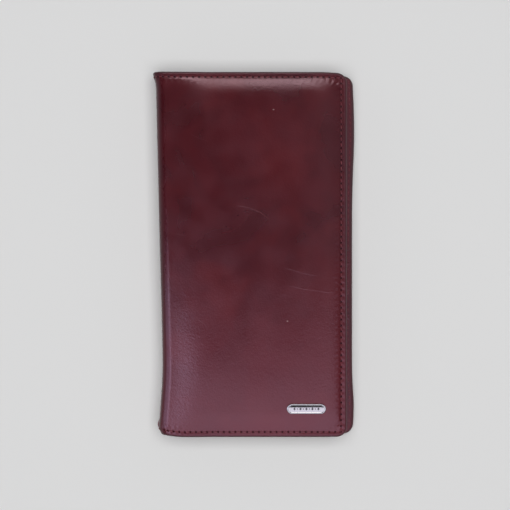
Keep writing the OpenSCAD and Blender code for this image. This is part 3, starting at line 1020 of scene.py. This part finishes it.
def build_zip():
    """The teeth, tapes and stops. row_near and row_far are a tooth row's reach from the zip's middle."""
    low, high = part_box("zip_teeth_upper")
    zip_y = (low.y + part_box("zip_teeth_lower")[1].y) / 2
    row_near, row_far = low.y - zip_y, high.y - zip_y
    z_mid = (low.z + high.z) / 2
    for part, side in (("upper", 1), ("lower", -1)):
        teeth = build_teeth(side, low, high, zip_y, row_far)
        bead = rounded_box(0.42 * MM, 0.45 * MM, 0.3 * MM, 3)
        bead_y = row_far - 0.3 * MM
        teeth.append(shell(bead, low.x, high.x, 0.1 * MM,
                           lambda u, v, w: (w, zip_y + side * (bead_y + u), z_mid + v)))
        dress(join_shells(f"zip_teeth_row_{part}", teeth), "zip_metal", f"zip_teeth_{part}", body=BACK)
        build_tape(f"zip_tape_{part}", zip_y + side * row_far)
    middle = (row_near + row_far) / 2
    reach = (row_far - row_near) / 2
    build_stop("zip_stop_closed", [zip_y + middle, zip_y - middle], reach)
    build_stop("zip_stop_open", [zip_y], row_far)


def build_teeth(side, low, high, zip_y, row_far):
    """The teeth of one row, which mesh with the other row's."""
    pitch, tooth, head_reach, neck_y = 1.6 * MM, 0.36 * MM, 0.45 * MM, 0.2 * MM
    head = tooth * 0.55
    outline = [(-tooth, row_far), (-tooth, neck_y), (-head, -head_reach),
               (head, -head_reach), (tooth, neck_y), (tooth, row_far)]
    first_x = low.x + pitch / 2 + pitch / 4 * side + 0.2 * MM
    teeth = []
    for k in range(int((high.x - low.x - pitch) / pitch)):
        x = first_x + k * pitch
        teeth.append(shell(outline, low.z + TOOTH_INSET, high.z - TOOTH_INSET, 0.13 * MM,
                           lambda u, v, w: (x + u, zip_y + side * v, w)))
    return teeth


def build_tape(node, teeth_y):
    """A cloth tape, with a rib beside its teeth."""
    low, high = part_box(node)

    def ribbed(x, y):
        return high.z - 0.04 * MM + 0.05 * MM * bell(np.abs(y - teeth_y), 0.9 * MM, 0.5 * MM)

    tape = plate(f"{node}_cloth", BACK, node_plan(node, 1 * MM), low.z, ribbed, 0.3 * MM, 0.3 * MM,
                 (), [(teeth_y, 2.4 * MM, 0.3 * MM)], step=2.5 * MM, edge_steps=3)
    dress(tape, "zip_cloth", node, body=BACK)


def build_stop(node, middles, reach):
    """A zip stop: a block at each of its middles in y."""
    low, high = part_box(node)
    middle_x = (low.x + high.x) / 2
    outline = rounded_box((high.x - low.x) / 2, reach, 0.3 * MM)
    blocks = [shell(outline, low.z, high.z, 0.18 * MM, lambda u, v, w: (middle_x + u, middle_y + v, w))
              for middle_y in middles]
    dress(join_shells(f"{node}_block", blocks), "zip_metal", node, body=BACK)


def build_slider():
    """Two shields with guiding flanges, the divider's stubs between them and the bridge over the top."""
    low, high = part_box("zip_slider")
    middle_x, middle_y = (low.x + high.x) / 2, (low.y + high.y) / 2
    half_l, half_w = (high.x - low.x) / 2, (high.y - low.y) / 2
    plate_t, wall, bridge_h = 0.6 * MM, 0.8 * MM, 1.8 * MM
    top = high.z - bridge_h
    bottom_plate, top_plate = low.z + plate_t / 2, top - plate_t / 2
    tape_low, tape_high = (corner.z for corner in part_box("zip_tape_upper"))
    teeth_low, teeth_high = (corner.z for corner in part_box("zip_teeth_upper"))

    def at(u, v, w):
        return (middle_x + u, middle_y + v, w)

    shield = []
    for u, v in rounded_box(half_l, half_w, 2.4 * MM, 6):
        waist = 1 - 0.16 * ease((-u - 0.5 * MM) / half_l)
        shield.append((u, float(v * waist)))
    shells = [shell(shield, low.z, low.z + plate_t, 0.2 * MM, at),
              shell(shield, top - plate_t, top, 0.25 * MM, at)]

    gap, taper = 0.15 * MM, 0.55 * MM
    rail_back, rail_front = -half_l + 1.4 * MM, half_l - 2.2 * MM
    rail_in, rail_out = half_w - wall, half_w - 0.1 * MM
    for side in (1, -1):
        rail = [(rail_back, side * (rail_in - taper)), (rail_front, side * rail_in),
                (rail_front, side * rail_out), (rail_back, side * (rail_out - taper))]
        for z0, z1 in ((bottom_plate, tape_low - gap), (tape_high + gap, top_plate)):
            shells.append(shell(rail[::side], z0, z1, 0.12 * MM, at))

    stub = rounded_box(1 * MM, 0.15 * MM, 0.1 * MM, 2)
    for z0, z1 in ((bottom_plate, teeth_low + TOOTH_CLEAR), (teeth_high - TOOTH_CLEAR, top_plate)):
        shells.append(shell(stub, z0, z1, 0.02 * MM, lambda u, v, w: at(half_l - 1 * MM + u, v, w)))

    reach, bar, arch_w = 3.4 * MM, 0.6 * MM, 1.2 * MM
    arch = []
    for inset, order in ((0.0, 1), (bar, -1)):
        span, rise, r = reach - inset, bridge_h - inset, 1.3 * MM - inset
        curve = [(-span, -0.2 * MM), (-span, rise - r)]
        curve += [(-span + r - r * math.cos(a), rise - r + r * math.sin(a)) for a in (0.52, 1.05, 1.57)]
        curve += [(-u, v) for u, v in reversed(curve)]
        arch += curve[::order]
    shells.append(shell(arch, -arch_w, arch_w, 0.16 * MM, lambda u, v, w: at(u, w, top + v)))
    dress(join_shells("zip_slider_body", shells), "zip_metal", "zip_slider", body=SLIDER)


def softened(route, step, rounds=3):
    """A route through (y, z) corners in short steps, with its corners smoothed."""
    points = []
    for (y0, z0), (y1, z1) in zip(route, route[1:]):
        count = max(1, int(math.hypot(y1 - y0, z1 - z0) / step))
        points += [(y0 + (y1 - y0) * k / count, z0 + (z1 - z0) * k / count) for k in range(count)]
    points = np.array(points + [route[-1]])
    for _ in range(rounds):
        points[1:-1] = (points[:-2] + 2 * points[1:-1] + points[2:]) / 4
    return points


def build_pull():
    """A leather strip folded round the slider's bridge and sewn to itself."""
    low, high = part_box("zip_pull")
    x_mid = (low.x + high.x) / 2
    half_w = (high.x - low.x) / 2
    strip_t = 0.6 * MM
    z_low, z_high = low.z + strip_t / 2, high.z - strip_t / 2
    sewn_y, eye_y = high.y - 9.2 * MM, high.y - 2.2 * MM
    loop_r = (z_high - z_low) / 2
    under = [(low.y, z_low), (sewn_y, z_low), (eye_y - 1.5 * MM, z_low)]
    loop = [(eye_y + 1.3 * loop_r * math.sin(a) - 0.1 * MM, z_low + loop_r - loop_r * math.cos(a))
            for a in np.linspace(0, math.pi, 9)]
    over = [(eye_y - 2.4 * MM, z_high - 0.05 * MM), (sewn_y + 1.5 * MM, z_low + strip_t + 0.25 * MM),
            (sewn_y, z_low + strip_t), (low.y, z_low + strip_t)]
    route = softened(under + loop + over, 0.7 * MM)

    sides = 16
    around = np.arange(sides) * 2 * math.pi / sides
    section_u = np.sign(np.cos(around)) * np.abs(np.cos(around)) ** 0.35
    section_v = np.sign(np.sin(around)) * np.abs(np.sin(around)) ** 0.7 * strip_t / 2 * 0.96
    points = []
    for k, (y, z) in enumerate(route):
        ty, tz = route[min(k + 1, len(route) - 1)] - route[max(k - 1, 0)]
        length = math.hypot(ty, tz)
        end_round = math.sqrt(max(0.03, 1 - max(0, 1 - (y - low.y) / half_w) ** 2))
        width = half_w * end_round * (1 - 0.2 * float(ease((y - sewn_y) / (6 * MM))))
        for u, v in zip(section_u, section_v):
            points.append((x_mid + width * u, y - tz / length * v, z + ty / length * v))
    wear = [1.0 if abs(x - x_mid) > 0.8 * half_w else 0.0 for x, _, _ in points]
    strip = make_object("zip_pull_strip", points, tube_faces(len(route), sides), 50, {"wear": wear})
    dress(strip, "inner_leather", "zip_pull", body=SLIDER)

    left, right = x_mid - half_w + 0.9 * MM, x_mid + half_w - 0.9 * MM
    shoulder_y = low.y + half_w * 0.8
    seam = [(left, sewn_y), (left, shoulder_y), (x_mid, low.y + 1.2 * MM), (right, shoulder_y),
            (right, sewn_y), (left, sewn_y)]
    rows = make_stitches("zip_pull_seam", BACK, seam, lambda x, y: low.z + 2 * strip_t + 0 * x, 1,
                         pitch=2 * MM, length=1.5 * MM, radius=0.17 * MM)
    dress(rows, "thread", body=SLIDER)


def build_badge():
    """Name plate: a round-ended plate with a raised rim, a domed face and a plain row of lozenges."""
    low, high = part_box("badge")
    mid_x, mid_y = (low.x + high.x) / 2, (low.y + high.y) / 2
    half_w = (high.y - low.y) / 2
    straight = (high.x - low.x) / 2 - half_w
    seat, rim_z = THICK - 0.9 * MM, high.z - 0.12 * MM
    dome, corner, lean = 0.30 * MM, 0.28 * MM, 0.055

    def face_z(v):
        return high.z - 0.06 * MM - dome * (v / half_w) ** 2 + lean * v

    rim = [(0.0, rim_z - corner)]
    rim += [(corner * (1 - math.cos(a)), rim_z - corner * (1 - math.sin(a))) for a in (0.4, 0.8, 1.2, 1.57)]
    rim += [(0.52 * MM, rim_z), (0.62 * MM, rim_z - 0.04 * MM)]
    field_inset, field_rings = 0.72 * MM, 7
    insets = [field_inset + (half_w - field_inset) * k / field_rings for k in range(field_rings + 1)]
    rings = [(0.0, lambda v: seat)]
    rings += [(inset, partial(lambda z, v: z + lean * v, z)) for inset, z in rim]
    rings += [(inset, face_z) for inset in insets]

    turn_steps, side_steps = 14, 12
    outline = []
    for side, start in ((1, -90), (-1, 90)):
        outline += [(side * straight, math.radians(start + 180 * k / turn_steps))
                    for k in range(turn_steps + 1)]
        outline += [(side * straight * (1 - 2 * k / side_steps), math.radians(start + 180))
                    for k in range(1, side_steps)]
    points = []
    for inset, height in rings:
        for centre, a in outline:
            u, v = centre + (half_w - inset) * math.cos(a), (half_w - inset) * math.sin(a)
            points.append((mid_x + u, mid_y + v, height(v)))
    faces = tube_faces(len(rings), len(outline))[:-1]
    badge = make_object("badge_plate", points, faces, 25, weld=True)
    dress(badge, "plate_metal", "badge", body=FRONT)

    lozenges = []
    for k in range(-4, 5):
        size = 0.72 if k % 2 == 0 else 0.4
        half_u, half_v = 0.9 * MM * size, 1.1 * MM * size
        middle = mid_x + k * 1.5 * MM
        lozenges.append(shell([(half_u, 0), (0, half_v), (-half_u, 0), (0, -half_v)],
                              -0.1 * MM, 0.06 * MM, 0.05 * MM,
                              lambda u, v, w: (middle + u, mid_y + v, face_z(v) + w)))
    dress(join_shells("badge_lozenges", lozenges, 25), "plate_metal", body=FRONT, material=INLAY)
    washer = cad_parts["badge_washer"].data.materials
    washer.clear()
    washer.append(MATERIALS["zip_metal"])


for half in (BACK, FRONT):
    build_cover(half)
    build_filling(half)
    build_lining(half)
    build_panel(half)
front_layers = build_card_slots(FRONT)
back_layers = build_card_slots(BACK) + [build_coin_pocket()]
build_inner_seams(FRONT, front_layers)
build_inner_seams(BACK, back_layers)
build_zip()
build_slider()
build_pull()
build_badge()


# ---- Camera, floor and lights ----

LOW_LEFT = (X_SPINE, -0.07, THICK)
COOL = (0.72, 0.78, 1.0)
# Panels that show only as reflections: name, place, target, size in x and y, power and colour
REFLECTED = [
    ("top_strip", (0.01, 0.575, 0.81), (0, 0, 0), (0.43, 0.28), 1.7, (1.0, 0.95, 0.92)),
    ("lower_panel", (0.0, -0.62, 1.09), (0, 0, 0), (1.3, 1.04), 6.0, (0.9, 0.85, 1.0)),
    ("right_fill", (0.62, 0.1, 1.0), (0, 0, 0), (0.6, 1.2), 0.5, (1.0, 0.95, 0.97)),
    ("left_glow", (-0.262, -0.1, 0.262), LOW_LEFT, (0.12, 0.34), 0.25, COOL),
    ("left_haze", (-0.16, -0.1, 0.325), LOW_LEFT, (0.14, 0.14), 0.05, COOL),
    ("right_panel", (1.0, 0.0, 0.25), (0, 0, 0), (1.0, 0.25), 1.2, (1.0, 0.97, 0.97)),
]


def add_panel(name, spot, target, size, power, colour):
    """A rectangular light that the camera doesn't see, aimed at a target."""
    data = bpy.data.lights.new(name, "AREA")
    data.shape = "RECTANGLE"
    data.size, data.size_y = size
    data.energy = power
    data.color = colour
    panel = bpy.data.objects.new(name, data)
    panel.visible_camera = False
    panel.location = spot
    panel.rotation_euler = (Vector(target) - Vector(spot)).to_track_quat("-Z", "Y").to_euler()
    bpy.context.scene.collection.objects.link(panel)
    return panel


def build_world():
    """Soft grey surroundings: dark overhead, brighter in a band above the horizon."""
    world = bpy.data.worlds.new("world")
    world.use_nodes = True
    tree = world.node_tree
    direction = tree.nodes.new("ShaderNodeTexCoord")
    split = tree.nodes.new("ShaderNodeSeparateXYZ")
    ramp = tree.nodes.new("ShaderNodeValToRGB")
    tree.links.new(direction.outputs["Generated"], split.inputs[0])
    tree.links.new(split.outputs["Z"], ramp.inputs[0])
    tree.links.new(ramp.outputs[0], tree.nodes["Background"].inputs["Color"])
    horizon, overhead = ramp.color_ramp.elements
    horizon.position, horizon.color = 0.02, (0.5, 0.5, 0.5, 1)
    overhead.position, overhead.color = 0.95, (0.02, 0.02, 0.02, 1)
    for position, grey in ((0.1, 0.22), (0.3, 0.32), (0.5, 0.15), (0.7, 0.04)):
        ramp.color_ramp.elements.new(position).color = (grey, grey, grey * 1.03, 1)
    bpy.context.scene.world = world


def build_camera():
    """A long lens straight above the wallet."""
    scene = bpy.context.scene
    scene.view_settings.view_transform = "Standard"
    lens = bpy.data.cameras.new("camera")
    lens.lens = 100
    lens.sensor_width = 36
    lens.clip_start = 0.01
    camera = bpy.data.objects.new("camera", lens)
    scene.collection.objects.link(camera)
    seen_width = 0.2561
    camera.location = (0.3 * MM, -0.25 * MM, THICK + seen_width * lens.lens / lens.sensor_width)
    scene.camera = camera


def build_floor():
    """White paper that fades into a glow far from the wallet."""
    reach = 12.0
    corners = [(-reach, -reach, 0), (reach, -reach, 0), (reach, reach, 0), (-reach, reach, 0)]
    mesh = bpy.data.meshes.new("floor")
    mesh.from_pydata(corners, [], [[0, 1, 2, 3]])
    floor = bpy.data.objects.new("floor", mesh)
    bpy.context.scene.collection.objects.link(floor)
    n = Nodes("floor_paper")
    from_middle = n.add("ShaderNodeVectorMath", {0: n.object_point}, operation="LENGTH").outputs["Value"]
    far_glow = n.spread(from_middle, 0.4, 2.2, 0.0, 0.62)
    mesh.materials.append(n.finish(Base_Color=(0.78, 0.78, 0.78, 1), Roughness=0.95, Specular_IOR_Level=0.1,
                                   Emission_Color=(1, 1, 1, 1), Emission_Strength=far_glow))
    floor.visible_glossy = False


build_camera()
build_floor()
build_world()
add_panel("overhead", (0, 0, 1.6), (0, 0, 0), (1.6, 1.6), 26.75, (1.0, 1.0, 1.0)).visible_glossy = False
for settings in REFLECTED:
    add_panel(*settings).visible_diffuse = False
